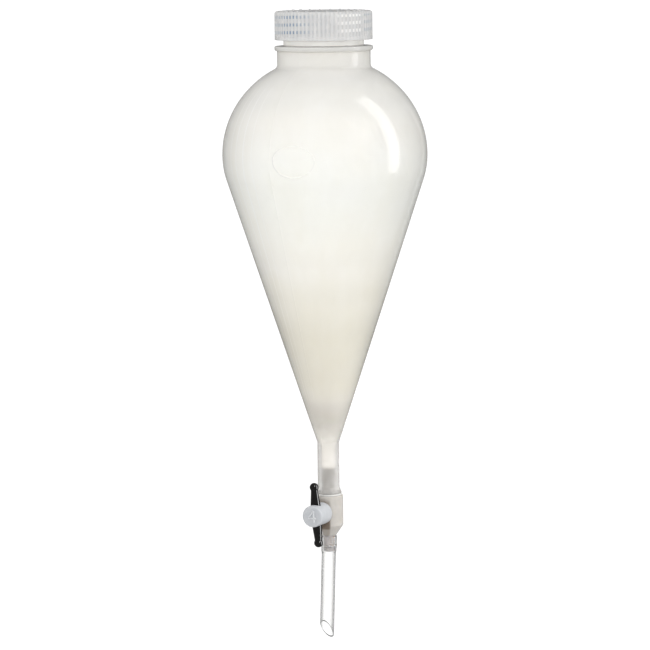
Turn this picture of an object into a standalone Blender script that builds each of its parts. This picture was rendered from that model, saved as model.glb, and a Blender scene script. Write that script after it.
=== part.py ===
"""Two-litre plastic separatory funnel: pear-shaped vessel, screw closure, plug stopcock, delivery tube.

Metres, +Z up. The funnel's axis is Z. The origin is on that axis, in the plane where a support
ring of RING_RADIUS touches the cone. The stopcock's plug lies along Y, with its head towards -Y.
"""
from math import acos, asin, atan2, cos, pi, radians, sin, tan

import bmesh
import bpy
from mathutils import Matrix

ASSEMBLY = "separatory_funnel"
GAP = 0.0003                    # between pieces that touch on the real object
RIDGE_ROOT = 0.0004             # how deep a thread's ridge is set in the wall that carries it
STEPS_LARGE = 48                # facets round the vessel and the closure
STEPS_SMALL = 24                # facets round the stopcock's pieces
THREAD_STEPS_LARGE = 24         # sections in a turn of thread
THREAD_STEPS_SMALL = 12

# Vessel
RING_RADIUS = 0.050
CONE_HALF_ANGLE = radians(18.26)
BULB_RADIUS = 0.0740
BULB_Z = 0.0820                 # the widest circle
SHOULDER_RISE = 0.0705          # upper half-height of the bulb's ellipse
WALL = 0.0020
NECK_RADIUS = 0.02895           # threaded neck
NECK_BORE = 0.0267
RIM_Z = 0.1817
COLLAR_RADIUS = 0.03365         # plain neck under the flange
COLLAR_BORE = 0.0313
COLLAR_FILLET = 0.0035          # blend from the collar into the shoulder
FLANGE_RADIUS = 0.03543
FLANGE_TOP_Z = 0.1603
FLANGE_UNDER_Z = 0.1569
SPOUT_RADIUS = 0.00794
SPOUT_BORE = 0.00445
SPOUT_FOOT_RADIUS = 0.00962
SPOUT_FLARE_Z = -0.16075
SPOUT_FOOT_Z = -0.1648

# Closure and its thread
THREAD_PITCH = 0.00544
THREAD_TURNS_NECK = 2.7
THREAD_TURNS_CLOSURE = 1.9
THREAD_START_ANGLE = radians(95)
THREAD_START_Z = 0.1646         # centre of the neck's ridge where it starts
RIDGE_BASE = 0.0027
RIDGE_CREST = 0.0012
NECK_CREST = 0.0319
CLOSURE_CREST = 0.0293
CLOSURE_RADIUS = 0.0352
CLOSURE_BORE = 0.0323
CLOSURE_TOP_Z = 0.1853
CLOSURE_FOOT_Z = 0.1647
CLOSURE_BAND = 0.0026           # height of the smooth band at the foot
CLOSURE_PLATE = 0.0018
CLOSURE_EDGE = 0.0020           # rounding of the top edge
RIB_COUNT = 72
RIB_DEPTH = 0.00045
MARK_COUNT = 24
MARK_RADIUS = 0.0285
MARK_SIZE = (0.0030, 0.0012, 0.0004)
SEAL_RADIUS = 0.0308
SEAL_THICKNESS = 0.0012

# Stopcock: Z values on the funnel's axis, distances along the plug from the funnel's axis
PLUG_Z = -0.1782
PLUG_TILT = radians(-4.2)       # how far the handle leans from upright
GASKET_THICKNESS = 0.0011
BARREL_RADIUS = 0.01043
BARREL_TOP_Z = SPOUT_FOOT_Z - GASKET_THICKNESS - 2 * GAP
BARREL_CHAMFER_Z = -0.1884
BARREL_FOOT_Z = -0.1962
BARREL_FOOT_RADIUS = 0.00511
FLOW_BORE = 0.0020              # radius of the bore for the liquid
INLET_TOP_Z = -0.1467
INLET_CORE = 0.00345
INLET_CREST = 0.00412
INLET_PITCH = 0.0020
INLET_RIDGE_BASE = 0.0011
INLET_RIDGE_CREST = 0.0004
OUTLET_RADIUS = 0.00409
OUTLET_FOOT_Z = -0.2080
TAPER_MID_RADIUS = 0.00478      # plug radius on the funnel's axis
TAPER_SLOPE = 0.1               # 1 in 5 on the diameter
HEAD_RADIUS = 0.0079
HEAD_BACK = 0.0110
HEAD_FRONT = 0.0292
HEAD_EDGE = 0.0014
TAIL_SHOULDER = 0.0079
TAIL_END = 0.0140
TAIL_CORE = 0.00205
TAIL_CREST = 0.00255
TAIL_FLAT = 0.0021              # distance of the key flat from the plug's axis
TAIL_PITCH = 0.00125
TAIL_RIDGE_BASE = 0.0006
TAIL_RIDGE_CREST = 0.00025
COUNTERBORE_RADIUS = 0.0052
COUNTERBORE_FLOOR = TAIL_SHOULDER + GAP
WASHER_RADIUS = 0.0049
WASHER_THICKNESS = 0.0012
O_RING_SECTION = 0.0006
PLUG_O_RING_RADIUS = 0.0038
NUT_RADIUS = 0.0046
NUT_HEIGHT = 0.0028
NUT_FLUTES = 10
OUTLET_O_RING_RADIUS = 0.00375
OUTLET_O_RING_Z = -0.2042
HANDLE_REACH = 0.02165          # from the funnel's axis to the handle's axis
HANDLE_BALLS = 0.0407           # between ball centres
HANDLE_BALL_RADIUS = 0.00325
HANDLE_WAIST = 0.0026           # at the ball
HANDLE_ROOT = 0.0036            # in the head

# Delivery tube
TUBE_RADIUS = 0.00515
TUBE_BORE = 0.0043
TUBE_SLEEVE_RADIUS = 0.0055     # where the tube is stretched over the outlet
TUBE_SLEEVE_BORE = 0.00475
TUBE_TOP_Z = BARREL_FOOT_Z - 2 * GAP
TUBE_SLEEVE_Z = -0.2078
TUBE_TIP_Z = -0.2712
BEVEL_SLOPE = 1.11
BEVEL_AZIMUTH = radians(-16)    # where the tip is lowest


# ---------------------------------------------------------------- helpers

def clear_scene():
    for thing in list(bpy.data.objects):
        bpy.data.objects.remove(thing, do_unlink=True)


def new_collection(name):
    collection = bpy.data.collections.new(name)
    bpy.context.scene.collection.children.link(collection)
    return collection


def plastic(name, colour, roughness, transmission=0.0):
    material = bpy.data.materials.new(name)
    material.use_nodes = True
    shader = material.node_tree.nodes["Principled BSDF"]
    shader.inputs["Base Color"].default_value = (*colour, 1.0)
    shader.inputs["Roughness"].default_value = roughness
    shader.inputs["Metallic"].default_value = 0.0
    shader.inputs["Transmission Weight"].default_value = transmission
    return material


def arc(centre, radius, start, end, count):
    """Points (r, z) on a circle from angle start to angle end, both included."""
    angles = [start + (end - start) * i / (count - 1) for i in range(count)]
    return [(centre[0] + radius * cos(a), centre[1] + radius * sin(a)) for a in angles]


def turned(name, profile, steps, collection, closed=True):
    """A profile of (r, z) points, down its outer side first, turned about Z."""
    count = len(profile)
    last = count if closed else count - 1
    mesh = bpy.data.meshes.new(name)
    mesh.from_pydata(
        [(r, 0.0, z) for r, z in profile], [(i, (i + 1) % count) for i in range(last)], []
    )
    body = bpy.data.objects.new(name, mesh)
    collection.objects.link(body)
    screw = body.modifiers.new("turn", "SCREW")
    screw.steps = steps
    screw.render_steps = steps
    screw.use_merge_vertices = True
    screw.merge_threshold = 0.00001
    return body


def from_bmesh(name, shape, collection):
    mesh = bpy.data.meshes.new(name)
    shape.to_mesh(mesh)
    shape.free()
    body = bpy.data.objects.new(name, mesh)
    collection.objects.link(body)
    return body


def as_cutter(body):
    body.hide_render = True
    body.display_type = "WIRE"
    return body


def combine(body, tool, operation):
    boolean = body.modifiers.new(operation.lower(), "BOOLEAN")
    boolean.operation = operation
    boolean.solver = "EXACT"
    boolean.object = as_cutter(tool)
    return boolean


def add_cylinder(shape, radius, length, matrix, segments):
    bmesh.ops.create_cone(
        shape, cap_ends=True, segments=segments, radius1=radius, radius2=radius,
        depth=length, matrix=matrix,
    )


def rod(name, radius, length, collection, matrix):
    """A plain cylinder along the matrix's Z, centred on its origin."""
    shape = bmesh.new()
    add_cylinder(shape, radius, length, matrix, STEPS_SMALL)
    return from_bmesh(name, shape, collection)


def ring_of(name, count, place, make, collection):
    """One mesh of separate tools round Z: place moves a tool out, make adds one to the mesh."""
    shape = bmesh.new()
    for i in range(count):
        make(shape, Matrix.Rotation(2 * pi * i / count, 4, "Z") @ place)
    return from_bmesh(name, shape, collection)


def helical_ridge(name, root, crest, pitch, turns, start_z, start_angle, base, tip, per_turn,
                  collection):
    """A thread ridge that swells from nothing at both ends. Root lies inside the wall it joins."""
    count = max(8, int(round(turns * per_turn)))
    runout = max(2, per_turn // 8)
    buried = root + (root - crest) * 0.15
    shape = bmesh.new()
    sections = []
    for i in range(count + 1):
        swell = min(1.0, i / runout, (count - i) / runout)
        top = buried + (crest - buried) * swell
        angle = start_angle + 2 * pi * turns * i / count
        z = start_z + pitch * turns * i / count
        outline = [(root, -base / 2), (top, -tip / 2), (top, tip / 2), (root, base / 2)]
        if swell == 0.0:
            outline = [(root, -base / 2), (root, base / 2)]
        sections.append([
            shape.verts.new((r * cos(angle), r * sin(angle), z + dz)) for r, dz in outline
        ])
    inside = sections[1:-1]
    for low, high in zip(inside, inside[1:]):
        for j in range(4):
            k = (j + 1) % 4
            shape.faces.new((low[j], low[k], high[k], high[j]))
    for point, section in ((sections[0], inside[0]), (sections[-1], inside[-1])):
        shape.faces.new((point[0], section[0], section[1]))
        shape.faces.new((point[0], section[1], section[2], point[1]))
        shape.faces.new((point[1], section[2], section[3]))
        shape.faces.new((point[0], point[1], section[3], section[0]))
    bmesh.ops.recalc_face_normals(shape, faces=shape.faces)
    return from_bmesh(name, shape, collection)


def on_plug_axis(body):
    """Lay a piece made along +Z on the plug's axis: +Z becomes -Y, +Y becomes up."""
    body.matrix_world = (
        Matrix.Translation((0, 0, PLUG_Z))
        @ Matrix.Rotation(PLUG_TILT, 4, "Y")
        @ Matrix.Rotation(pi / 2, 4, "X")
    )
    return body


def finish(body, material):
    body.data.materials.append(material)
    return body


def settle(bodies, sharp=35):
    """Give each body the mesh its modifiers make, shaded smooth up to the sharp angle in degrees."""
    graph = bpy.context.evaluated_depsgraph_get()
    meshes = [bpy.data.meshes.new_from_object(body.evaluated_get(graph)) for body in bodies]
    for body, mesh in zip(bodies, meshes):
        mesh.name = body.name
        body.modifiers.clear()
        body.data = mesh
        mesh.shade_smooth()
        mesh.set_sharp_from_angle(angle=radians(sharp))


# ---------------------------------------------------------------- vessel

def cone_radius(z):
    return RING_RADIUS + z * tan(CONE_HALF_ANGLE)


def waist_arc_radius():
    """The arc under the widest circle that ends tangent to the cone."""
    return (cone_radius(BULB_Z) - BULB_RADIUS) / (
        tan(CONE_HALF_ANGLE) * sin(CONE_HALF_ANGLE) + cos(CONE_HALF_ANGLE) - 1
    )


def shoulder(offset, start_radius, count):
    """The bulb's upper quarter ellipse, moved inwards by offset, from start_radius to the equator."""
    wide, high = BULB_RADIUS - offset, SHOULDER_RISE - offset
    first = acos(start_radius / wide)
    angles = [first * (1 - i / (count - 1)) for i in range(count)]
    return [(wide * cos(a), BULB_Z + high * sin(a)) for a in angles]


def waist(offset, count):
    """The arc from the equator down to the cone, without its first point."""
    radius = waist_arc_radius()
    centre = (BULB_RADIUS - radius, BULB_Z)
    return arc(centre, radius - offset, 0.0, -CONE_HALF_ANGLE, count)[1:]


def collar_blend(count):
    """Concave fillet between the collar's cylinder and the shoulder's ellipse."""
    wide, high = BULB_RADIUS, SHOULDER_RISE
    centre_r = COLLAR_RADIUS + COLLAR_FILLET
    contact = acos(centre_r / wide)
    for _ in range(20):
        normal = atan2(wide * sin(contact), high * cos(contact))
        contact = acos((centre_r - COLLAR_FILLET * cos(normal)) / wide)
    normal = atan2(wide * sin(contact), high * cos(contact))
    touch = (wide * cos(contact), BULB_Z + high * sin(contact))
    centre = (centre_r, touch[1] + COLLAR_FILLET * sin(normal))
    return arc(centre, COLLAR_FILLET, pi, pi + normal, count), touch[0]


def vessel_outside():
    blend, shoulder_start = collar_blend(5)
    edge = 0.0006
    return (
        [(NECK_RADIUS - edge, RIM_Z), (NECK_RADIUS, RIM_Z - edge)]
        + [(NECK_RADIUS, FLANGE_TOP_Z), (FLANGE_RADIUS - edge, FLANGE_TOP_Z)]
        + [(FLANGE_RADIUS, FLANGE_TOP_Z - edge), (FLANGE_RADIUS, FLANGE_UNDER_Z + 2 * edge)]
        + [(FLANGE_RADIUS - edge, FLANGE_UNDER_Z), (COLLAR_RADIUS, FLANGE_UNDER_Z)]
        + blend
        + shoulder(0.0, shoulder_start, 10)[1:]
        + waist(0.0, 5)
        + [(SPOUT_RADIUS, (SPOUT_RADIUS - RING_RADIUS) / tan(CONE_HALF_ANGLE))]
        + [(SPOUT_RADIUS, SPOUT_FLARE_Z), (SPOUT_FOOT_RADIUS, SPOUT_FOOT_Z)]
    )


def vessel_inside():
    """From the spout's foot up to the rim."""
    cone_gap = WALL / cos(CONE_HALF_ANGLE)
    bore_top = (SPOUT_BORE + cone_gap - RING_RADIUS) / tan(CONE_HALF_ANGLE)
    upward = (
        [(NECK_BORE, RIM_Z), (NECK_BORE, FLANGE_UNDER_Z + WALL)]
        + [(COLLAR_BORE, FLANGE_UNDER_Z - WALL)]
        + shoulder(WALL, COLLAR_BORE, 8)
        + waist(WALL, 4)
        + [(SPOUT_BORE, bore_top), (SPOUT_BORE, SPOUT_FOOT_Z)]
    )
    return upward[::-1]


def build_vessel(parts, tools, material):
    body = turned("funnel_body", vessel_outside() + vessel_inside(), STEPS_LARGE, parts)
    thread = helical_ridge(
        "neck_thread", NECK_RADIUS - RIDGE_ROOT, NECK_CREST, THREAD_PITCH, THREAD_TURNS_NECK,
        THREAD_START_Z, THREAD_START_ANGLE, RIDGE_BASE, RIDGE_CREST, THREAD_STEPS_LARGE, tools,
    )
    combine(body, thread, "UNION")
    return finish(body, material)


# ---------------------------------------------------------------- closure

def build_closure(parts, tools, material):
    ceiling = CLOSURE_TOP_Z - CLOSURE_PLATE
    mouth = 0.0006
    edge_centre = (CLOSURE_RADIUS - CLOSURE_EDGE, CLOSURE_TOP_Z - CLOSURE_EDGE)
    profile = (
        [(0.0, CLOSURE_TOP_Z)]
        + arc(edge_centre, CLOSURE_EDGE, pi / 2, 0.0, 4)
        + [(CLOSURE_RADIUS, CLOSURE_FOOT_Z + mouth), (CLOSURE_RADIUS - mouth, CLOSURE_FOOT_Z)]
        + [(CLOSURE_BORE + mouth, CLOSURE_FOOT_Z), (CLOSURE_BORE, CLOSURE_FOOT_Z + mouth)]
        + [(CLOSURE_BORE, ceiling), (0.0, ceiling)]
    )
    cap = turned("screw_closure", profile, STEPS_LARGE, parts, closed=False)
    thread = helical_ridge(
        "closure_thread", CLOSURE_BORE + RIDGE_ROOT, CLOSURE_CREST, THREAD_PITCH,
        THREAD_TURNS_CLOSURE, THREAD_START_Z + THREAD_PITCH / 2, THREAD_START_ANGLE,
        RIDGE_BASE, RIDGE_CREST, THREAD_STEPS_LARGE, tools,
    )
    combine(cap, thread, "UNION")
    combine(cap, rib_grooves(tools), "DIFFERENCE")
    combine(cap, top_marks(tools), "UNION")
    return finish(cap, material)


def rib_grooves(tools):
    """Upright grooves that leave the ribs between them, above the smooth foot band."""
    low = CLOSURE_FOOT_Z + CLOSURE_BAND
    high = CLOSURE_TOP_Z - CLOSURE_EDGE / 2
    groove = 0.0008
    place = Matrix.Translation((CLOSURE_RADIUS - RIB_DEPTH + groove, 0, (low + high) / 2))

    def add(shape, matrix):
        add_cylinder(shape, groove, high - low, matrix, 6)

    return ring_of("rib_grooves", RIB_COUNT, place, add, tools)


def top_marks(tools):
    """Plain raised ticks in a ring on the top."""
    length, width, height = MARK_SIZE
    place = Matrix.Translation((MARK_RADIUS, 0, CLOSURE_TOP_Z))

    def add(shape, matrix):
        scale = Matrix.Diagonal((length, width, 2 * height, 1))
        bmesh.ops.create_cube(shape, size=1.0, matrix=matrix @ scale)

    return ring_of("top_marks", MARK_COUNT, place, add, tools)


def build_seal(parts, material):
    top = CLOSURE_TOP_Z - CLOSURE_PLATE - GAP
    foot = top - SEAL_THICKNESS
    profile = [(0.0, top), (SEAL_RADIUS, top), (SEAL_RADIUS, foot), (0.0, foot)]
    return finish(turned("closure_seal", profile, STEPS_LARGE, parts, closed=False), material)


# ---------------------------------------------------------------- stopcock

def taper_radius(distance, clearance=0.0):
    return TAPER_MID_RADIUS + TAPER_SLOPE * distance + clearance


def build_gasket(parts, material):
    top = SPOUT_FOOT_Z - GAP
    foot = top - GASKET_THICKNESS
    bore = INLET_CREST + GAP
    profile = [(SPOUT_FOOT_RADIUS, top), (SPOUT_FOOT_RADIUS, foot), (bore, foot), (bore, top)]
    return finish(turned("spout_gasket", profile, STEPS_SMALL, parts), material)


def build_barrel(parts, tools, material):
    edge = 0.0008
    groove_half = O_RING_SECTION + GAP
    groove_floor = OUTLET_O_RING_RADIUS - O_RING_SECTION - GAP
    profile = (
        [(INLET_CORE, INLET_TOP_Z), (INLET_CORE, BARREL_TOP_Z)]
        + arc((BARREL_RADIUS - edge, BARREL_TOP_Z - edge), edge, pi / 2, 0.0, 4)
        + [(BARREL_RADIUS, BARREL_CHAMFER_Z), (BARREL_FOOT_RADIUS, BARREL_FOOT_Z)]
        + [(OUTLET_RADIUS, BARREL_FOOT_Z), (OUTLET_RADIUS, OUTLET_O_RING_Z + groove_half)]
        + [(groove_floor, OUTLET_O_RING_Z + groove_half)]
        + [(groove_floor, OUTLET_O_RING_Z - groove_half)]
        + [(OUTLET_RADIUS, OUTLET_O_RING_Z - groove_half)]
        + [(OUTLET_RADIUS, OUTLET_FOOT_Z), (FLOW_BORE, OUTLET_FOOT_Z), (FLOW_BORE, INLET_TOP_Z)]
    )
    barrel = turned("stopcock_barrel", profile, STEPS_SMALL, parts)
    turns = (SPOUT_FLARE_Z - INLET_TOP_Z) / -INLET_PITCH - 1.0
    thread = helical_ridge(
        "inlet_thread", INLET_CORE - RIDGE_ROOT, INLET_CREST, INLET_PITCH, turns,
        SPOUT_FLARE_Z, 0.0, INLET_RIDGE_BASE, INLET_RIDGE_CREST, THREAD_STEPS_SMALL, tools,
    )
    combine(barrel, thread, "UNION")
    combine(barrel, socket_cutter(tools), "DIFFERENCE")
    return finish(barrel, material)


def socket_cutter(tools):
    """The tapered seat of the plug and the counterbore of its washer, as one turned tool."""
    front, back = BARREL_RADIUS + 0.002, COUNTERBORE_FLOOR
    profile = [
        (0.0, front),
        (taper_radius(front, GAP), front),
        (taper_radius(-back, GAP), -back),
        (COUNTERBORE_RADIUS, -back),
        (COUNTERBORE_RADIUS, -BARREL_RADIUS - 0.002),
        (0.0, -BARREL_RADIUS - 0.002),
    ]
    return on_plug_axis(turned("plug_socket", profile, STEPS_SMALL, tools, closed=False))


def o_ring(name, radius, parts, material):
    profile = arc((radius, 0.0), O_RING_SECTION, pi / 2, -3 * pi / 2, 9)[:-1]
    return finish(turned(name, profile, STEPS_SMALL, parts), material)


def build_plug(parts, tools, material):
    edge_centre = (HEAD_RADIUS - HEAD_EDGE, HEAD_FRONT - HEAD_EDGE)
    back_edge = 0.0005
    profile = (
        [(0.0, HEAD_FRONT)]
        + arc(edge_centre, HEAD_EDGE, pi / 2, 0.0, 5)
        + [(HEAD_RADIUS, HEAD_BACK + back_edge), (HEAD_RADIUS - back_edge, HEAD_BACK)]
        + [(taper_radius(HEAD_BACK), HEAD_BACK)]
        + [(taper_radius(-TAIL_SHOULDER), -TAIL_SHOULDER), (TAIL_CORE, -TAIL_SHOULDER)]
        + [(TAIL_CORE, -TAIL_END), (0.0, -TAIL_END)]
    )
    plug = on_plug_axis(turned("stopcock_plug", profile, STEPS_SMALL, parts, closed=False))
    turns = (TAIL_END - TAIL_SHOULDER) / TAIL_PITCH - 1.2
    start = -TAIL_END + 0.6 * TAIL_PITCH
    thread = on_plug_axis(helical_ridge(
        "tail_thread", TAIL_CORE - RIDGE_ROOT, TAIL_CREST, TAIL_PITCH, turns, start, 0.0,
        TAIL_RIDGE_BASE, TAIL_RIDGE_CREST, THREAD_STEPS_SMALL, tools,
    ))
    combine(plug, thread, "UNION")
    combine(plug, key_block("tail_key", TAIL_FLAT, tools), "DIFFERENCE")
    flow = rod("flow_cutter", FLOW_BORE, 0.03, tools, Matrix.Rotation(pi / 2, 4, "X"))
    combine(plug, on_plug_axis(flow), "DIFFERENCE")
    across = Matrix.Translation((0, 0, HANDLE_REACH)) @ Matrix.Rotation(pi / 2, 4, "X")
    cross = rod("handle_hole", HANDLE_ROOT + GAP, 0.03, tools, across)
    combine(plug, on_plug_axis(cross), "DIFFERENCE")
    return finish(plug, material)


def key_block(name, flat, tools):
    """A block beside the plug's threaded tail, from the distance flat outwards."""
    reach = 0.002
    length = TAIL_END - TAIL_SHOULDER
    centre = Matrix.Translation((flat + reach / 2, 0, -TAIL_SHOULDER - GAP - length / 2))
    shape = bmesh.new()
    bmesh.ops.create_cube(shape, size=1.0, matrix=centre @ Matrix.Diagonal((reach, 0.01, length, 1)))
    return on_plug_axis(from_bmesh(name, shape, tools))


def build_handle(parts, material):
    """A bar that tapers from the plug's head to a ball at each end, along the plug's local Y."""
    half = HANDLE_BALLS / 2
    neck_angle = asin(HANDLE_WAIST / HANDLE_BALL_RADIUS)
    neck = half - HANDLE_BALL_RADIUS * cos(neck_angle)
    ball = arc((0.0, half), HANDLE_BALL_RADIUS, pi / 2, neck_angle - pi / 2, 8)[1:]
    upper = [(0.0, half + HANDLE_BALL_RADIUS)] + ball + [(HANDLE_WAIST, neck - 0.0004)]
    upper += [(HANDLE_ROOT, HEAD_RADIUS)]
    lower = [(r, -z) for r, z in reversed(upper)]
    bar = turned("handle_bar", upper + lower, STEPS_SMALL, parts, closed=False)
    on_plug_axis(bar)
    bar.matrix_world = bar.matrix_world @ (
        Matrix.Translation((0, 0, HANDLE_REACH)) @ Matrix.Rotation(-pi / 2, 4, "X")
    )
    return finish(bar, material)


def build_washer(parts, tools, material):
    """Washer with a D-shaped hole, keyed to the flat on the plug's tail."""
    lift = Matrix.Translation((0, 0, -(COUNTERBORE_FLOOR + GAP + WASHER_THICKNESS / 2)))
    washer = on_plug_axis(rod("plug_washer", WASHER_RADIUS, WASHER_THICKNESS, parts, lift))
    hole = rod("washer_hole", TAIL_CREST + GAP, 2 * WASHER_THICKNESS, tools, lift)
    combine(on_plug_axis(hole), key_block("washer_key", TAIL_FLAT + GAP, tools), "DIFFERENCE")
    combine(washer, hole, "DIFFERENCE")
    return finish(washer, material)


def build_nut(parts, tools, material):
    """Fluted nut on the plug's threaded tail."""
    front = -(COUNTERBORE_FLOOR + WASHER_THICKNESS + 2 * O_RING_SECTION + 3 * GAP)
    foot = front - NUT_HEIGHT
    bore = TAIL_CREST + GAP
    edge = 0.0004
    profile = [
        (NUT_RADIUS, front), (NUT_RADIUS, foot + edge), (NUT_RADIUS - edge, foot),
        (bore, foot), (bore, front),
    ]
    nut = on_plug_axis(turned("tension_nut", profile, STEPS_SMALL, parts))
    turns = 1.4
    start = -TAIL_END + 0.1 * TAIL_PITCH        # half a pitch from the tail's own ridge
    thread = on_plug_axis(helical_ridge(
        "nut_thread", bore + RIDGE_ROOT, TAIL_CORE + GAP, TAIL_PITCH, turns, start, 0.0,
        TAIL_RIDGE_BASE, TAIL_RIDGE_CREST, THREAD_STEPS_SMALL, tools,
    ))
    combine(nut, thread, "UNION")
    flute = 0.0009
    place = Matrix.Translation((NUT_RADIUS + flute * 0.55, 0, (front + foot) / 2))

    def add(shape, matrix):
        add_cylinder(shape, flute, 2 * NUT_HEIGHT, matrix, 10)

    combine(nut, on_plug_axis(ring_of("nut_flutes", NUT_FLUTES, place, add, tools)), "DIFFERENCE")
    return finish(nut, material)


# ---------------------------------------------------------------- delivery tube

def build_tube(parts, tools, material):
    below = TUBE_TIP_Z - 0.002
    step = 0.0015
    bead = 0.0003
    bead_z = OUTLET_O_RING_Z
    profile = (
        [(TUBE_SLEEVE_RADIUS, TUBE_TOP_Z), (TUBE_SLEEVE_RADIUS, bead_z + 3 * bead)]
        + [(TUBE_SLEEVE_RADIUS + bead, bead_z), (TUBE_SLEEVE_RADIUS, bead_z - 3 * bead)]
        + [(TUBE_SLEEVE_RADIUS, TUBE_SLEEVE_Z), (TUBE_RADIUS, TUBE_SLEEVE_Z - step)]
        + [(TUBE_RADIUS, below), (TUBE_BORE, below), (TUBE_BORE, TUBE_SLEEVE_Z - step)]
        + [(TUBE_SLEEVE_BORE, TUBE_SLEEVE_Z), (TUBE_SLEEVE_BORE, TUBE_TOP_Z)]
    )
    tube = turned("delivery_tube", profile, STEPS_SMALL, parts)
    combine(tube, bevel_cutter(tools), "DIFFERENCE")
    return finish(tube, material)


def bevel_cutter(tools):
    """A block whose slanted top face cuts the tip, lowest at BEVEL_AZIMUTH."""
    size = 0.06
    middle_z = TUBE_TIP_Z + BEVEL_SLOPE * TUBE_RADIUS
    slant = atan2(BEVEL_SLOPE, 1.0)
    place = (
        Matrix.Translation((0, 0, middle_z))
        @ Matrix.Rotation(BEVEL_AZIMUTH, 4, "Z")
        @ Matrix.Rotation(slant, 4, "Y")
        @ Matrix.Translation((0, 0, -size / 2))
    )
    shape = bmesh.new()
    bmesh.ops.create_cube(shape, size=size, matrix=place)
    return from_bmesh("bevel_block", shape, tools)


# ---------------------------------------------------------------- assembly

def build():
    clear_scene()
    parts = new_collection(ASSEMBLY)
    tools = new_collection("cutters")
    milky = plastic("milky_polypropylene", (0.90, 0.89, 0.85), 0.35, 0.3)
    cap_plastic = plastic("closure_polypropylene", (0.80, 0.82, 0.84), 0.35, 0.3)
    barrel_plastic = plastic("barrel_plastic", (0.72, 0.70, 0.67), 0.45)
    ptfe = plastic("white_fluoropolymer", (0.80, 0.83, 0.86), 0.5)
    black = plastic("black_plastic", (0.015, 0.014, 0.014), 0.25)
    rubber = plastic("black_rubber", (0.03, 0.03, 0.03), 0.7)
    clear = plastic("clear_plastic", (0.95, 0.96, 0.95), 0.05, 1.0)

    build_vessel(parts, tools, milky)
    build_closure(parts, tools, cap_plastic)
    build_seal(parts, ptfe)
    build_gasket(parts, ptfe)
    build_barrel(parts, tools, barrel_plastic)
    outlet_ring = o_ring("outlet_o_ring", OUTLET_O_RING_RADIUS, parts, ptfe)
    outlet_ring.location.z = OUTLET_O_RING_Z
    build_tube(parts, tools, clear)
    build_plug(parts, tools, ptfe)
    build_handle(parts, black)
    build_washer(parts, tools, ptfe)
    tail_ring = on_plug_axis(o_ring("plug_o_ring", PLUG_O_RING_RADIUS, parts, rubber))
    reach = COUNTERBORE_FLOOR + WASHER_THICKNESS + O_RING_SECTION + 2 * GAP
    tail_ring.matrix_world = tail_ring.matrix_world @ Matrix.Translation((0, 0, -reach))
    build_nut(parts, tools, ptfe)
    settle(list(parts.objects))


build()
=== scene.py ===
"""Looks for the plastic separatory funnel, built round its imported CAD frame.

Metres, in the CAD's own frame: the funnel's axis is Z, the plug's head points towards -Y.
"""
from math import acos, asin, atan2, cos, pi, radians, sin, tan

import bpy
import numpy as np
from mathutils import Matrix, Vector


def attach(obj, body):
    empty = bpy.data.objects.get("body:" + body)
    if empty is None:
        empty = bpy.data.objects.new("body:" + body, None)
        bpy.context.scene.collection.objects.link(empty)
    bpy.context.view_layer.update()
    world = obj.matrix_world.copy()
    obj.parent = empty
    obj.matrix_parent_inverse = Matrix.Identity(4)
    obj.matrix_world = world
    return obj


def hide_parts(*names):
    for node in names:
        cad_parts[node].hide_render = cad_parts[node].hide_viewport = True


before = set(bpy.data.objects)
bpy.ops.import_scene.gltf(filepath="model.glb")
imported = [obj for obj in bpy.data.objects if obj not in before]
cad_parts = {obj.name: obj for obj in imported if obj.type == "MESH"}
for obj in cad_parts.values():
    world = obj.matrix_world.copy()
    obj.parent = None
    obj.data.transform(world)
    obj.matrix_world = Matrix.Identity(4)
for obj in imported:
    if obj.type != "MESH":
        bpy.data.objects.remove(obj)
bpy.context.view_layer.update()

GAP = 0.0003
SAME_POINT = 0.00002             # outline points closer than this are one

# Vessel
RING_RADIUS = 0.050
CONE_HALF_ANGLE = radians(18.26)
BULB_RADIUS = 0.0740
BULB_Z = 0.0820
SHOULDER_RISE = 0.0705
WALL = 0.0020
NECK_RADIUS = 0.02895
NECK_BORE = 0.0267
RIM_Z = 0.1817
COLLAR_RADIUS = 0.03365
COLLAR_BORE = 0.0313
COLLAR_FILLET = 0.0035
FLANGE_RADIUS = 0.03543
FLANGE_TOP_Z = 0.1603
FLANGE_UNDER_Z = 0.1569
SPOUT_RADIUS = 0.00794
SPOUT_BORE = 0.00445
SPOUT_FOOT_RADIUS = 0.00962
SPOUT_FLARE_Z = -0.16075
SPOUT_FOOT_Z = -0.1648
SPOUT_START_Z = -0.125
COLLAR_START_Z = 0.138
OVAL_ANGLE = radians(-83)
OVAL_Z = 0.0815
OVAL_HALF_SIZE = (0.0155, 0.0112)
OVAL_RAISE = 0.00040
OVAL_LINE = 0.00034
PARTING_ANGLE = radians(-97)
PARTING_RAISE = 0.00012
PARTING_HALF_WIDTH = radians(0.28)
SEAM_RAISE = 0.00010
SEAM_HALF_WIDTH = 0.0004
# azimuth in degrees and strength of each flow line
FLOW_LINES = [(-110, 0.25), (-117, 0.5), (-124, 0.45), (-130, 0.5), (-137, 0.3)]
FLOW_LINE_HALF_WIDTH = radians(0.5)
FLOW_LINE_FADE = (0.136, 0.122)

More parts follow.
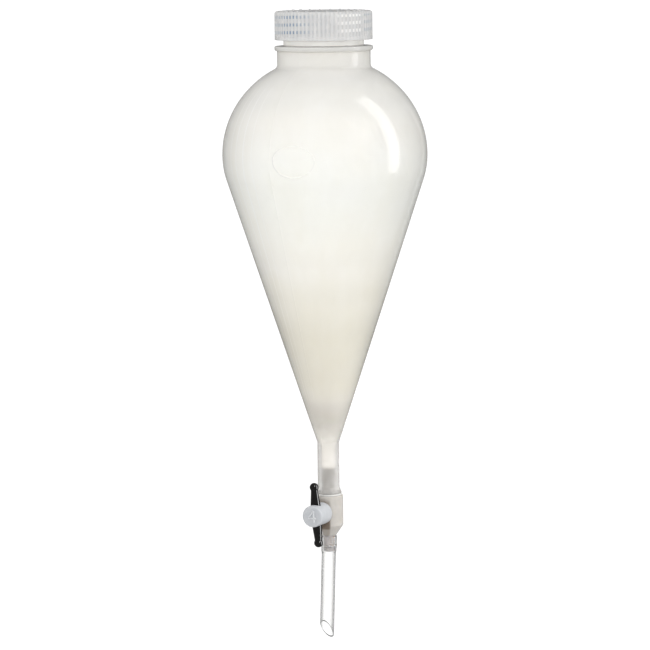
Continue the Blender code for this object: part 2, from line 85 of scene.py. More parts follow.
# Closure and its thread
THREAD_PITCH = 0.00544
THREAD_TURNS_NECK = 2.7
THREAD_TURNS_CLOSURE = 1.9
THREAD_START_ANGLE = radians(95)
THREAD_START_Z = 0.1646
RIDGE_BASE = 0.0027
RIDGE_CREST = 0.0012
NECK_CREST = 0.0319
CLOSURE_CREST = 0.0293
CLOSURE_RADIUS = 0.0352
CLOSURE_BORE = 0.0323
CLOSURE_TOP_Z = 0.1853
CLOSURE_FOOT_Z = 0.1647
CLOSURE_BAND = 0.0026
CLOSURE_PLATE = 0.0018
CLOSURE_EDGE = 0.0020
RIB_COUNT = 72
RIB_DEPTH = 0.00045
MARK_COUNT = 24
MARK_RADIUS = 0.0285
MARK_SIZE = (0.0030, 0.0012, 0.0006)
SEAL_RADIUS = 0.0308
SEAL_THICKNESS = 0.0012

# Stopcock
PLUG_Z = -0.1782
PLUG_TILT = radians(-4.2)
GASKET_THICKNESS = 0.0011
BARREL_RADIUS = 0.01043
BARREL_TOP_Z = SPOUT_FOOT_Z - GASKET_THICKNESS - 2 * GAP
BARREL_CHAMFER_Z = -0.1884
BARREL_FOOT_Z = -0.1962
BARREL_FOOT_RADIUS = 0.00511
FLOW_BORE = 0.0020
INLET_TOP_Z = -0.1467
INLET_CORE = 0.00345
INLET_CREST = 0.00412
INLET_PITCH = 0.0020
INLET_RIDGE_BASE = 0.0011
INLET_RIDGE_CREST = 0.0004
OUTLET_RADIUS = 0.00409
OUTLET_FOOT_Z = -0.2080
TAPER_MID_RADIUS = 0.00478
TAPER_SLOPE = 0.1
HEAD_RADIUS = 0.0079
HEAD_BACK = 0.0110
HEAD_FRONT = 0.0292
HEAD_EDGE = 0.0014
TAIL_SHOULDER = 0.0079
TAIL_END = 0.0140
TAIL_CORE = 0.00205
TAIL_CREST = 0.00255
TAIL_FLAT = 0.0021
TAIL_PITCH = 0.00125
TAIL_RIDGE_BASE = 0.0006
TAIL_RIDGE_CREST = 0.00025
COUNTERBORE_RADIUS = 0.0052
COUNTERBORE_FLOOR = TAIL_SHOULDER + GAP
WASHER_RADIUS = 0.0049
WASHER_THICKNESS = 0.0012
O_RING_SECTION = 0.0006
PLUG_O_RING_RADIUS = 0.0038
NUT_RADIUS = 0.0046
NUT_HEIGHT = 0.0028
NUT_FLUTES = 10
OUTLET_O_RING_RADIUS = 0.00375
OUTLET_O_RING_Z = -0.2042
HANDLE_REACH = 0.02165
HANDLE_BALLS = 0.0407
HANDLE_BALL_RADIUS = 0.00325
HANDLE_WAIST = 0.0026
HANDLE_ROOT = 0.0036

# The shade beside the plug's head, on the barrel
SHADE_ANGLE = radians(-98)
SHADE_EDGE = radians(-60)
SHADE_FAR_EDGE = radians(-110)
SHADE_Z = PLUG_Z - 0.0045
SHADE_RADIUS = 0.0155

# Delivery tube
TUBE_RADIUS = 0.00515
TUBE_BORE = 0.0043
TUBE_SLEEVE_RADIUS = 0.0055
TUBE_SLEEVE_BORE = 0.00475
TUBE_TOP_Z = BARREL_FOOT_Z - 2 * GAP
TUBE_SLEEVE_Z = -0.2078
TUBE_TIP_Z = -0.2712
BEVEL_SLOPE = 1.11
BEVEL_AZIMUTH = radians(-16)
TUBE_LEAN = 0.034                # how far the soft tube leans off the nipple's line
TUBE_LEAN_TOWARDS = radians(205)

# Painted light and shade where the closure's thread would let light through, as fractions of a turn from
# -X
WINDOW_Z = 0.1777
SHADED_WINDOWS = [(0.0, 0.3), (0.10, 0.6), (0.205, 1.0), (0.245, 0.6), (0.29, 0.12), (0.37, 0.0),
                (0.46, 0.0), (0.486, 0.6), (0.55, 0.4), (0.70, 0.2), (0.85, 0.6), (1.0, 0.3)]
LIT_WINDOWS = [(0.0, 0.0), (0.35, 0.0), (0.39, 0.8), (0.42, 1.0), (0.45, 1.0), (0.475, 0.0),
                  (0.62, 0.0), (0.68, 0.7), (0.74, 0.0), (1.0, 0.0)]

# Colours and other values of the materials
WHITE = (1.0, 1.0, 1.0)
PLASTIC_IOR = 1.49
RAMP_FOOT_Z = -0.165
RAMP_TOP_Z = 0.182
# colours of the milky plastic from the spout's foot up to the neck, with painted light and shade in them:
# darker down the cone into the spout, a darker flange and a bright band on the neck above it
MILKY_SHADED_TONES = [
    (-0.165, (0.58, 0.565, 0.545)), (-0.145, (0.53, 0.515, 0.495)), (-0.127, (0.45, 0.437, 0.415)),
    (-0.12, (0.50, 0.485, 0.455)), (-0.1035, (0.61, 0.583, 0.535)), (-0.082, (0.67, 0.638, 0.555)),
    (-0.05, (0.715, 0.68, 0.585)), (-0.022, (0.79, 0.752, 0.655)), (0.005, (0.90, 0.855, 0.755)),
    (0.025, (0.955, 0.904, 0.79)), (0.06, (0.985, 0.938, 0.82)), (0.085, (0.95, 0.908, 0.815)),
    (0.105, (0.905, 0.868, 0.785)), (0.125, (0.81, 0.793, 0.74)), (0.142, (0.76, 0.746, 0.708)),
    (0.1565, (0.73, 0.713, 0.674)), (0.1575, (0.55, 0.545, 0.53)), (0.1603, (0.55, 0.545, 0.53)),
    (0.1608, (0.93, 0.925, 0.91)), (0.1640, (0.93, 0.925, 0.91)), (0.1665, (0.74, 0.73, 0.70)),
]
# its gloss at grazing angles, by height
MILKY_RIM = [(-0.115, 0.25), (-0.095, 0.55), (-0.054, 0.80), (-0.003, 0.62), (0.03, 0.5),
             (0.09, 0.48), (0.12, 0.32), (0.138, 0.2)]
FLOW_LINE_COLOUR = (1.0, 0.99, 0.96)
OVAL_SHADE = (0.78, 0.74, 0.68)
# painted glow on the milky plastic, given as emission
GLOW_COLOUR = (1.0, 0.96, 0.87)
BORE_GLOW = 0.90
BORE_GLOW_FADE = (-0.106, -0.126)
NECK_GLOW = 0.26
# painted shade in the closure's grooves, then painted shade and light in its thread windows
GROOVE_SHADE_COLOUR = (0.50, 0.505, 0.51)
WINDOW_SHADE_COLOUR = (0.30, 0.385, 0.49)
WINDOW_LIGHT_COLOUR = (1.0, 0.99, 0.97)

# Camera and stage
CAMERA_PLACE = (1.083, -2.323, 0.254)
CAMERA_AIM = (-0.0012, -0.0006, -0.0419)
CAMERA_ROLL = radians(-0.65)
CAMERA_LENS = 197.0
CAMERA_SIDE = -65                # direction from the object to the camera, in whole degrees
FLOOR_Z = -0.35
FLOOR_SIZE = 120.0
LIT_MIDDLE = (0, 0, 0.05)
WORLD_LIGHT = 1.05
WORLD_MIRRORED = 0.25


# ---------------------------------------------------------------- shape helpers

def link(thing):
    bpy.context.scene.collection.objects.link(thing)
    return thing


def around(count, start=0.0):
    return np.array([start + 2 * pi * i / count for i in range(count)])


def wrapped(angle, turn=2 * pi):
    """The same direction as an angle between minus and plus half a turn."""
    return (angle + turn / 2) % turn - turn / 2


def rounded(corners, steps=5):
    """An open outline: corners are (r, z) or (r, z, rounding radius)."""
    points = []
    for i, corner in enumerate(corners):
        here = np.array(corner[:2], dtype=float)
        radius = corner[2] if len(corner) > 2 else 0.0
        if radius == 0.0 or i in (0, len(corners) - 1):
            points.append(tuple(here))
            continue
        to_last = np.array(corners[i - 1][:2]) - here
        to_next = np.array(corners[i + 1][:2]) - here
        to_last = to_last / np.linalg.norm(to_last)
        to_next = to_next / np.linalg.norm(to_next)
        half = acos(float(np.clip(to_last @ to_next, -1, 1))) / 2
        middle = to_last + to_next
        centre = here + middle / np.linalg.norm(middle) * radius / sin(half)
        begin = here + to_last * radius / tan(half) - centre
        end = here + to_next * radius / tan(half) - centre
        first = atan2(begin[1], begin[0])
        sweep = wrapped(atan2(end[1], end[0]) - first)
        for k in range(steps + 1):
            angle = first + sweep * k / steps
            points.append((centre[0] + radius * cos(angle), centre[1] + radius * sin(angle)))
    return points


def divided(points, step):
    """The same outline with no segment longer than step."""
    result = [points[0]]
    for (r0, z0), (r1, z1) in zip(points, points[1:]):
        parts = max(1, int(np.ceil(np.hypot(r1 - r0, z1 - z0) / step)))
        for k in range(1, parts + 1):
            result.append((r0 + (r1 - r0) * k / parts, z0 + (z1 - z0) * k / parts))
    return result


def gap_between(one, other):
    return np.hypot(one[0] - other[0], one[1] - other[1])


def clean_outline(points):
    """Drops a point that repeats the one before it."""
    result = [points[0]]
    for point in points[1:]:
        if gap_between(point, result[-1]) > SAME_POINT:
            result.append(point)
    return result


def shaded(piece, sharp=35):
    piece.data.shade_smooth()
    piece.data.set_sharp_from_angle(angle=radians(sharp))
    return piece


def revolve(name, outline, angles, relief=None, loop=True, sharp=35):
    """Turns an outline, down its outer side first, about Z, as one closed mesh.

    relief(r, z, angle) moves points and takes and gives arrays. Without loop the outline
    starts and ends on the axis.
    """
    outline = clean_outline(outline)
    if loop and gap_between(outline[0], outline[-1]) < SAME_POINT:
        outline = outline[:-1]
    inner = outline if loop else outline[1:-1]
    r = np.array([p[0] for p in inner])[:, None]
    z = np.array([p[1] for p in inner])[:, None]
    a = np.asarray(angles)[None, :]
    r, z, a = np.broadcast_arrays(r, z, a)
    if relief:
        r, z = relief(r, z, a)
    rows, columns = r.shape
    points = np.stack([r * np.cos(a), r * np.sin(a), z], axis=-1).reshape(-1, 3)
    index = np.arange(rows * columns).reshape(rows, columns)
    lower = np.roll(index, -1, axis=0) if loop else index[1:]
    upper = index if loop else index[:-1]
    faces = np.stack([
        upper, lower, np.roll(lower, -1, axis=1), np.roll(upper, -1, axis=1),
    ], axis=-1).reshape(-1, 4).tolist()
    points = points.tolist()
    if not loop:
        points += [(0.0, 0.0, outline[0][1]), (0.0, 0.0, outline[-1][1])]
        top, foot = rows * columns, rows * columns + 1
        for j in range(columns):
            k = (j + 1) % columns
            faces.append((top, int(index[0, j]), int(index[0, k])))
            faces.append((foot, int(index[-1, k]), int(index[-1, j])))
    mesh = bpy.data.meshes.new(name)
    mesh.from_pydata(points, [], faces)
    mesh.validate()
    return shaded(link(bpy.data.objects.new(name, mesh)), sharp)


def carve(piece, tools):
    """Cuts the tools out of a piece and removes them."""
    for tool in tools:
        cut = piece.modifiers.new("cut", "BOOLEAN")
        cut.operation = "DIFFERENCE"
        cut.solver = "EXACT"
        cut.object = tool
    graph = bpy.context.evaluated_depsgraph_get()
    mesh = bpy.data.meshes.new_from_object(piece.evaluated_get(graph))
    piece.modifiers.clear()
    old = piece.data
    piece.data = mesh
    mesh.name = piece.name
    bpy.data.meshes.remove(old)
    for tool in tools:
        bpy.data.objects.remove(tool, do_unlink=True)
    return shaded(piece)


def rod(name, radius, length, matrix):
    half = length / 2
    piece = revolve(name, [(0, half), (radius, half), (radius, -half), (0, -half)],
                    around(64), loop=False)
    piece.data.transform(matrix)
    return piece


def smooth(value):
    value = np.clip(value, 0.0, 1.0)
    return value * value * (3 - 2 * value)


def helix(z, angle, pitch, turns, start_z, start_angle, base, crest, runout=radians(25)):
    """Height from 0 to 1 of a helical ridge at each point."""
    height = np.zeros_like(z)
    for lap in range(int(turns) + 2):
        travel = (angle - start_angle) % (2 * pi) + 2 * pi * lap
        across = np.abs(z - (start_z + pitch * travel / (2 * pi)))
        ridge = smooth((base / 2 - across) / (base / 2 - crest / 2))
        ends = smooth(np.minimum(travel, 2 * pi * turns - travel) / runout)
        height = np.maximum(height, ridge * ends)
    return height


PLUG_AXIS = (
    Matrix.Translation((0, 0, PLUG_Z))
    @ Matrix.Rotation(PLUG_TILT, 4, "Y")
    @ Matrix.Rotation(pi / 2, 4, "X")
)


def on_plug_axis(piece):
    """Lays a piece made along +Z on the plug's axis: +Z becomes -Y, +Y becomes up."""
    piece.data.transform(PLUG_AXIS)
    return piece


# ---------------------------------------------------------------- vessel

def cone_radius(z):
    return RING_RADIUS + z * tan(CONE_HALF_ANGLE)


def waist_arc_radius():
    return (cone_radius(BULB_Z) - BULB_RADIUS) / (
        tan(CONE_HALF_ANGLE) * sin(CONE_HALF_ANGLE) + cos(CONE_HALF_ANGLE) - 1
    )


def collar_blend(count):
    """Concave fillet between the collar and the shoulder, and the bulb's angle where it ends."""
    wide, high = BULB_RADIUS, SHOULDER_RISE
    centre_r = COLLAR_RADIUS + COLLAR_FILLET
    contact = acos(centre_r / wide)
    for _ in range(20):
        normal = atan2(wide * sin(contact), high * cos(contact))
        contact = acos((centre_r - COLLAR_FILLET * cos(normal)) / wide)
    normal = atan2(wide * sin(contact), high * cos(contact))
    centre_z = BULB_Z + high * sin(contact) + COLLAR_FILLET * sin(normal)
    angles = np.linspace(pi, pi + normal, count)
    blend = [(centre_r + COLLAR_FILLET * cos(a), centre_z + COLLAR_FILLET * sin(a)) for a in angles]
    return blend, contact


def bulb_and_cone(offset, contact, fine, coarse):
    """The bulb from its shoulder to the cone's top, moved in by offset.

    fine is the spacing in the zone of the oval, coarse the number of steps in the rest.
    """
    wide, high = BULB_RADIUS - offset, SHOULDER_RISE - offset
    zone = OVAL_HALF_SIZE[1] + 0.0015
    upper_zone = asin(zone / high)
    count = max(3, int(zone / fine))
    upper = np.concatenate([
        np.linspace(contact, upper_zone, coarse)[:-1],
        np.linspace(upper_zone, 0.0, count),
    ])
    points = [(wide * cos(t), BULB_Z + high * sin(t)) for t in upper]
    radius = waist_arc_radius()
    lower_zone = asin(zone / radius)
    lower = np.concatenate([
        np.linspace(0.0, lower_zone, count)[1:],
        np.linspace(lower_zone, CONE_HALF_ANGLE, max(3, coarse // 6))[1:],
    ])
    centre = BULB_RADIUS - radius
    points += [
        (centre + (radius - offset) * cos(t), BULB_Z - (radius - offset) * sin(t)) for t in lower
    ]
    return points


def vessel_outline():
    blend, contact = collar_blend(9)
    neck = rounded([
        (NECK_BORE + 0.0003, RIM_Z), (NECK_RADIUS, RIM_Z, 0.0006), (NECK_RADIUS, FLANGE_TOP_Z, 0.0006),
        (FLANGE_RADIUS, FLANGE_TOP_Z, 0.0009), (FLANGE_RADIUS, FLANGE_UNDER_Z, 0.0014),
        (COLLAR_RADIUS, FLANGE_UNDER_Z, 0.0005), blend[0],
    ])
    neck = divided(neck, 0.00045)
    outside = bulb_and_cone(0.0, contact, 0.00042, 36)
    spout_top = (SPOUT_RADIUS - RING_RADIUS) / tan(CONE_HALF_ANGLE)
    spout = rounded([
        outside[-1], (SPOUT_RADIUS, spout_top, 0.006), (SPOUT_RADIUS, SPOUT_FLARE_Z, 0.0015),
        (SPOUT_FOOT_RADIUS, SPOUT_FOOT_Z, 0.0004), (SPOUT_BORE, SPOUT_FOOT_Z, 0.0003),
        (SPOUT_BORE, SPOUT_FOOT_Z + 0.004),
    ], 6)
    spout = divided(spout, 0.006)
    cone_gap = WALL / cos(CONE_HALF_ANGLE)
    bore_top = (SPOUT_BORE + cone_gap - RING_RADIUS) / tan(CONE_HALF_ANGLE)
    inside = bulb_and_cone(WALL, acos(COLLAR_BORE / (BULB_RADIUS - WALL)), 0.004, 14)[::-1]
    inner = rounded([
        (SPOUT_BORE, SPOUT_FOOT_Z + 0.004), (SPOUT_BORE, bore_top, 0.006), inside[0],
    ])
    inner = divided(inner, 0.012)
    top_of_inside = inside[-1]
    throat = rounded([
        top_of_inside, (COLLAR_BORE, FLANGE_UNDER_Z - WALL, 0.001),
        (NECK_BORE, FLANGE_UNDER_Z + WALL, 0.001), (NECK_BORE, RIM_Z, 0.0003),
        (NECK_BORE + 0.0003, RIM_Z),
    ], 4)
    throat = divided(throat, 0.006)
    return neck + blend[1:] + outside + spout[1:] + inner[1:] + inside[1:] + throat[1:]


def vessel_angles():
    """Close together over the oval, the front parting line and the back one, wide elsewhere."""
    fine = np.arange(radians(-98.2), radians(-69.6), radians(0.35))
    bead = PARTING_ANGLE + pi + np.radians([-1.2, -0.6, -0.35, -0.15, 0.0, 0.15, 0.35, 0.6, 1.2])
    coarse = np.radians(np.arange(-68.0, 260.0, 2.0))
    coarse = coarse[np.abs(coarse - bead[4]) > radians(1.6)]
    return np.sort(np.concatenate([fine, bead, coarse]))


def vessel_relief(r, z, angle):
    outside = r > np.where(z > BULB_Z, 0.0, cone_radius(z) - WALL * 0.5)
    neck_side = (z > FLANGE_TOP_Z + 0.0002) & (r > NECK_RADIUS - 0.0005)
    thread = helix(z, angle, THREAD_PITCH, THREAD_TURNS_NECK, THREAD_START_Z, THREAD_START_ANGLE,
                   RIDGE_BASE, RIDGE_CREST)
    raised = np.where(neck_side, thread * (NECK_CREST - NECK_RADIUS), 0.0)

    bulb = np.sqrt(np.clip(1 - ((z - BULB_Z) / SHOULDER_RISE) ** 2, 0, 1)) * BULB_RADIUS
    skin = np.where(z > BULB_Z, r > bulb - WALL * 0.5, outside)
    skin = skin & (z < FLANGE_UNDER_Z - 0.0006) & (z > SPOUT_FOOT_Z + 0.001)
    skin = np.where(z < SPOUT_START_Z, r > SPOUT_RADIUS - 0.0006, skin)
    skin = np.where(z > COLLAR_START_Z, r > COLLAR_RADIUS - 0.0006, skin) & skin

    front, back = [np.abs(wrapped(angle - at)) for at in (PARTING_ANGLE, PARTING_ANGLE + pi)]
    bead = np.exp(-(np.minimum(front, back) / PARTING_HALF_WIDTH) ** 2)
    across = wrapped(angle - OVAL_ANGLE) * BULB_RADIUS
    up = z - OVAL_Z
    ratio = np.sqrt((across / OVAL_HALF_SIZE[0]) ** 2 + (up / OVAL_HALF_SIZE[1]) ** 2)
    distance = (ratio - 1) * np.hypot(across, up) / np.maximum(ratio, 0.001)
    oval = np.exp(-(distance / OVAL_LINE) ** 2)
    seam = np.exp(-((z - BULB_Z) / SEAM_HALF_WIDTH) ** 2) * (ratio > 1.04)
    detail = np.maximum(PARTING_RAISE * bead, np.maximum(OVAL_RAISE * oval, SEAM_RAISE * seam))
    return r + raised + np.where(skin, detail, 0.0), z


def make_vessel():
    return revolve("vessel_wall", vessel_outline(), vessel_angles(), vessel_relief, sharp=40)


# ---------------------------------------------------------------- closure

def cap_outline():
    ceiling = CLOSURE_TOP_Z - CLOSURE_PLATE
    disc = [(0.0, CLOSURE_TOP_Z)] + [(r, CLOSURE_TOP_Z) for r in (0.004, 0.010, 0.016, 0.022, 0.0255)]
    mark_zone = np.arange(MARK_RADIUS - 0.0021, MARK_RADIUS + 0.0022, 0.0003)
    disc += [(r, CLOSURE_TOP_Z) for r in mark_zone]
    low = CLOSURE_FOOT_Z + CLOSURE_BAND
    high = CLOSURE_TOP_Z - CLOSURE_EDGE / 2
    shoulder = rounded([
        (0.0315, CLOSURE_TOP_Z), (CLOSURE_RADIUS, CLOSURE_TOP_Z, CLOSURE_EDGE),
        (CLOSURE_RADIUS, high - 0.003),
    ], 8)
    side = []
    for top, end in ((high - 0.003, low + 0.0012), (low + 0.0012, low - 0.0003)):
        side += [(CLOSURE_RADIUS, z) for z in np.linspace(top, end, 9)[1:]]
    foot = rounded([
        (CLOSURE_RADIUS, low - 0.0003), (CLOSURE_RADIUS, CLOSURE_FOOT_Z, 0.0005),
        (CLOSURE_BORE, CLOSURE_FOOT_Z, 0.0005), (CLOSURE_BORE, CLOSURE_FOOT_Z + 0.001),
    ], 4)
    inside = [(CLOSURE_BORE, z) for z in np.arange(CLOSURE_FOOT_Z + 0.001, ceiling - 0.001, 0.00038)]
    roof = rounded([inside[-1], (CLOSURE_BORE, ceiling, 0.0006), (0.026, ceiling)], 4)
    roof += [(0.018, ceiling), (0.008, ceiling), (0.0, ceiling)]
    return disc + shoulder + side + foot[1:] + inside[1:] + roof[1:]


def cap_relief(r, z, angle):
    low = CLOSURE_FOOT_Z + CLOSURE_BAND
    outer = r > CLOSURE_BORE + 0.0008
    # upright ribs: rounded crests between narrower grooves, faded in over the top edge
    phase = (angle * RIB_COUNT / (2 * pi)) % 1.0
    groove = smooth(1.0 - np.abs(phase - 0.5) / 0.34)
    foot_step = smooth((z - low) / 0.0007 + 0.4)
    over_edge = smooth((r - (CLOSURE_RADIUS - 0.0016)) / 0.0012)
    cut = RIB_DEPTH * groove * foot_step * over_edge * outer
    # thread inside
    inner = (r > CLOSURE_BORE - 0.0005) & (r < CLOSURE_BORE + 0.0003)
    inner = inner & (z > CLOSURE_FOOT_Z + 0.0008) & (z < CLOSURE_TOP_Z - CLOSURE_PLATE - 0.0008)
    thread = helix(z, angle, THREAD_PITCH, THREAD_TURNS_CLOSURE,
                   THREAD_START_Z + THREAD_PITCH / 2, THREAD_START_ANGLE, RIDGE_BASE, RIDGE_CREST)
    # plain raised ticks on the top
    length, width, height = MARK_SIZE
    step = 2 * pi / MARK_COUNT
    sideways = wrapped(angle, step) * r
    along = np.abs(r - MARK_RADIUS)
    tick = smooth((length / 2 - along) / 0.0004) * smooth((width / 2 - np.abs(sideways)) / 0.0003)
    top = (z > CLOSURE_TOP_Z - 0.0001) & (r < 0.0312)
    lift = np.where(top, tick * height, 0.0)
    return r - cut - np.where(inner, thread * (CLOSURE_BORE - CLOSURE_CREST), 0.0), z + lift


def make_cap():
    return revolve("cap_shell", cap_outline(), around(RIB_COUNT * 8), cap_relief, loop=False, sharp=60)


def make_liner():
    top = CLOSURE_TOP_Z - CLOSURE_PLATE - GAP
    foot = top - SEAL_THICKNESS
    ring = 0.0012
    outline = rounded([
        (0.0, top), (SEAL_RADIUS, top, 0.0003), (SEAL_RADIUS, foot, 0.0003),
        (NECK_RADIUS + ring, foot, 0.0001), (NECK_RADIUS + ring, foot + 0.0002, 0.0001),
        (NECK_BORE - ring, foot + 0.0002, 0.0001), (NECK_BORE - ring, foot, 0.0001), (0.0, foot),
    ], 3)
    return revolve("cap_liner", outline, around(144), loop=False)


# ---------------------------------------------------------------- stopcock

def taper_radius(distance, clearance=0.0):
    return TAPER_MID_RADIUS + TAPER_SLOPE * distance + clearance


def ring_outline(radius, bore, top, foot, rounding, steps=5):
    """Section of a flat ring, rounded at its outer top, its outer foot and its bore."""
    middle = (bore + radius) / 2
    return rounded([
        (middle, top), (radius, top, rounding[0]), (radius, foot, rounding[1]),
        (bore, foot, rounding[2]), (bore, top, rounding[2]), (middle, top),
    ], steps)


def make_gasket():
    top = SPOUT_FOOT_Z - GAP
    foot = top - GASKET_THICKNESS - 0.8 * GAP
    outline = ring_outline(SPOUT_FOOT_RADIUS, INLET_CREST + GAP, top, foot, (0.0003, 0.0003, 0.0002))
    return revolve("spout_seal", outline, around(96))


def make_barrel():
    groove_half = O_RING_SECTION + 0.00005
    groove_floor = OUTLET_O_RING_RADIUS - O_RING_SECTION - 0.00005
    outline = rounded([
        (FLOW_BORE + 0.0004, INLET_TOP_Z), (INLET_CORE, INLET_TOP_Z, 0.0003),
        (INLET_CORE, BARREL_TOP_Z, 0.0003), (BARREL_RADIUS, BARREL_TOP_Z, 0.0005),
        (BARREL_RADIUS, BARREL_CHAMFER_Z, 0.0012), (BARREL_FOOT_RADIUS, BARREL_FOOT_Z, 0.0003),
        (OUTLET_RADIUS, BARREL_FOOT_Z, 0.0002), (OUTLET_RADIUS, OUTLET_O_RING_Z + groove_half, 0.0001),
        (groove_floor, OUTLET_O_RING_Z + groove_half, 0.0001),
        (groove_floor, OUTLET_O_RING_Z - groove_half, 0.0001),
        (OUTLET_RADIUS, OUTLET_O_RING_Z - groove_half, 0.0001), (OUTLET_RADIUS, OUTLET_FOOT_Z, 0.0004),
        (FLOW_BORE, OUTLET_FOOT_Z, 0.0002), (FLOW_BORE, INLET_TOP_Z, 0.0002),
        (FLOW_BORE + 0.0004, INLET_TOP_Z),
    ])
    nipple_foot, nipple_side = BARREL_TOP_Z + 0.0004, INLET_CORE - 0.00001
    nipple = [p for p in divided(outline, 0.00016) if p[1] > nipple_foot and p[0] > nipple_side]
    coarse = divided(outline, 0.0015)
    below_top = [p[0] > nipple_side and p[1] < INLET_TOP_Z - 0.0002 for p in coarse]
    first = below_top.index(True)
    last = [p[1] < nipple_foot for p in coarse].index(True)
    outline = coarse[:first] + nipple + coarse[last:]
    turns = (SPOUT_FLARE_Z - INLET_TOP_Z) / -INLET_PITCH - 1.0

    def relief(r, z, angle):
        on_nipple = (z > nipple_foot) & (r > INLET_CORE - 0.00005)
        thread = helix(z, angle, INLET_PITCH, turns, SPOUT_FLARE_Z, 0.0, INLET_RIDGE_BASE,
                       INLET_RIDGE_CREST)
        return r + np.where(on_nipple, thread * (INLET_CREST - INLET_CORE), 0.0), z

    barrel = revolve("cock_barrel", outline, around(120), relief)
    front, back = BARREL_RADIUS + 0.002, COUNTERBORE_FLOOR
    socket = on_plug_axis(revolve("socket", [
        (0.0, front), (taper_radius(front, GAP), front), (taper_radius(-back, GAP), -back),
        (COUNTERBORE_RADIUS, -back), (COUNTERBORE_RADIUS, -front), (0.0, -front),
    ], around(96), loop=False))
    return carve(barrel, [socket])


def make_ring(name, radius, z):
    outline = [
        (radius + O_RING_SECTION * cos(a), -O_RING_SECTION * sin(a)) for a in around(20, -pi / 2)
    ]
    ring = revolve(name, outline, around(96))
    ring.data.transform(Matrix.Translation((0, 0, z)))
    return ring


def make_outlet_ring():
    return make_ring("nipple_ring", OUTLET_O_RING_RADIUS, OUTLET_O_RING_Z)


def make_tail_ring():
    back = COUNTERBORE_FLOOR + WASHER_THICKNESS + O_RING_SECTION + 2 * GAP
    return on_plug_axis(make_ring("tail_ring", PLUG_O_RING_RADIUS, -back))


def tail_radius(angle, r, flat):
    """A round section of radius r with a flat at that distance on its +X side."""
    reach = np.where(np.cos(angle) > 0.05, flat / np.maximum(np.cos(angle), 0.05), 1.0)
    return np.minimum(r, reach)


def make_plug():
    outline = rounded([
        (0.0, HEAD_FRONT), (HEAD_RADIUS, HEAD_FRONT, HEAD_EDGE), (HEAD_RADIUS, HEAD_BACK, 0.0007),
        (taper_radius(HEAD_BACK), HEAD_BACK, 0.0004),
        (taper_radius(-TAIL_SHOULDER), -TAIL_SHOULDER, 0.0003), (TAIL_CORE, -TAIL_SHOULDER, 0.0002),
        (TAIL_CORE, -TAIL_END, 0.0003), (0.0, -TAIL_END),
    ], 7)
    body = [p for p in divided(outline, 0.0012) if p[1] > -TAIL_SHOULDER - 0.0003]
    tail = [p for p in divided(outline, 0.00011) if p[1] <= -TAIL_SHOULDER - 0.0003]
    turns = (TAIL_END - TAIL_SHOULDER) / TAIL_PITCH - 1.2

    def relief(r, z, angle):
        on_tail = (z < -TAIL_SHOULDER - 0.0003) & (r > TAIL_CORE - 0.0001)
        thread = helix(z, angle, TAIL_PITCH, turns, -TAIL_END + 0.6 * TAIL_PITCH, 0.0,
                       TAIL_RIDGE_BASE, TAIL_RIDGE_CREST)
        grown = r + np.where(on_tail, thread * (TAIL_CREST - TAIL_CORE), 0.0)
        return np.where(on_tail, tail_radius(angle, grown, TAIL_FLAT), r), z

    plug = revolve("cock_plug", body + tail, around(96), relief, loop=False)
    flow = rod("flow", FLOW_BORE, 0.03, Matrix.Rotation(pi / 2, 4, "X"))
    across = Matrix.Translation((0, 0, HANDLE_REACH)) @ Matrix.Rotation(pi / 2, 4, "X")
    hole = rod("hole", HANDLE_ROOT + GAP, 0.03, across)
    return on_plug_axis(carve(plug, [flow, hole]))


def make_size_mark():
    """A plain raised figure on the head's face: the bore in millimetres."""
    strokes = [
        [(0.0015, -0.0042), (0.0015, 0.0042)],
        [(0.0015, 0.0042), (-0.0030, -0.0014), (0.0032, -0.0014)],
    ]
    curve = bpy.data.curves.new("plug_size_mark", "CURVE")
    curve.dimensions = "3D"
    curve.bevel_depth = 0.00070
    curve.bevel_resolution = 4
    curve.use_fill_caps = True
    for stroke in strokes:
        spline = curve.splines.new("POLY")
        spline.points.add(len(stroke) - 1)
        for point, (x, y) in zip(spline.points, stroke):
            point.co = (x, y, HEAD_FRONT + 0.00010, 1.0)
    holder = link(bpy.data.objects.new("plug_size_mark", curve))
    graph = bpy.context.evaluated_depsgraph_get()
    mesh = bpy.data.meshes.new_from_object(holder.evaluated_get(graph))
    bpy.data.objects.remove(holder, do_unlink=True)
    mark = link(bpy.data.objects.new("plug_size_mark", mesh))
    return on_plug_axis(shaded(mark, 50))


def make_handle():
    half = HANDLE_BALLS / 2
    neck_angle = asin(HANDLE_WAIST / HANDLE_BALL_RADIUS)
    neck = half - HANDLE_BALL_RADIUS * cos(neck_angle)
    ball = [
        (HANDLE_BALL_RADIUS * cos(a), half + HANDLE_BALL_RADIUS * sin(a))
        for a in np.linspace(pi / 2, neck_angle - pi / 2, 22)[1:]
    ]
    upper = [(0.0, half + HANDLE_BALL_RADIUS)] + ball + [(HANDLE_WAIST, neck - 0.0004)]
    upper += [(HANDLE_ROOT, HEAD_RADIUS)]
    lower = [(r, -z) for r, z in reversed(upper)]
    bar = revolve("cock_handle", divided(upper + lower, 0.002), around(72), loop=False, sharp=30)
    bar.data.transform(Matrix.Translation((0, 0, HANDLE_REACH)) @ Matrix.Rotation(-pi / 2, 4, "X"))
    return on_plug_axis(bar)


def make_washer():
    top = -(COUNTERBORE_FLOOR + GAP)
    foot = top - WASHER_THICKNESS
    bore = TAIL_CREST + GAP
    middle = (bore + WASHER_RADIUS) / 2
    outline = ring_outline(WASHER_RADIUS, bore, top, foot, (0.00015, 0.00015, 0.0001), 3)

    def relief(r, z, angle):
        inner = r < middle - 0.0001
        return np.where(inner, tail_radius(angle, r, TAIL_FLAT + GAP), r), z

    return on_plug_axis(revolve("tail_washer", outline, around(96), relief))


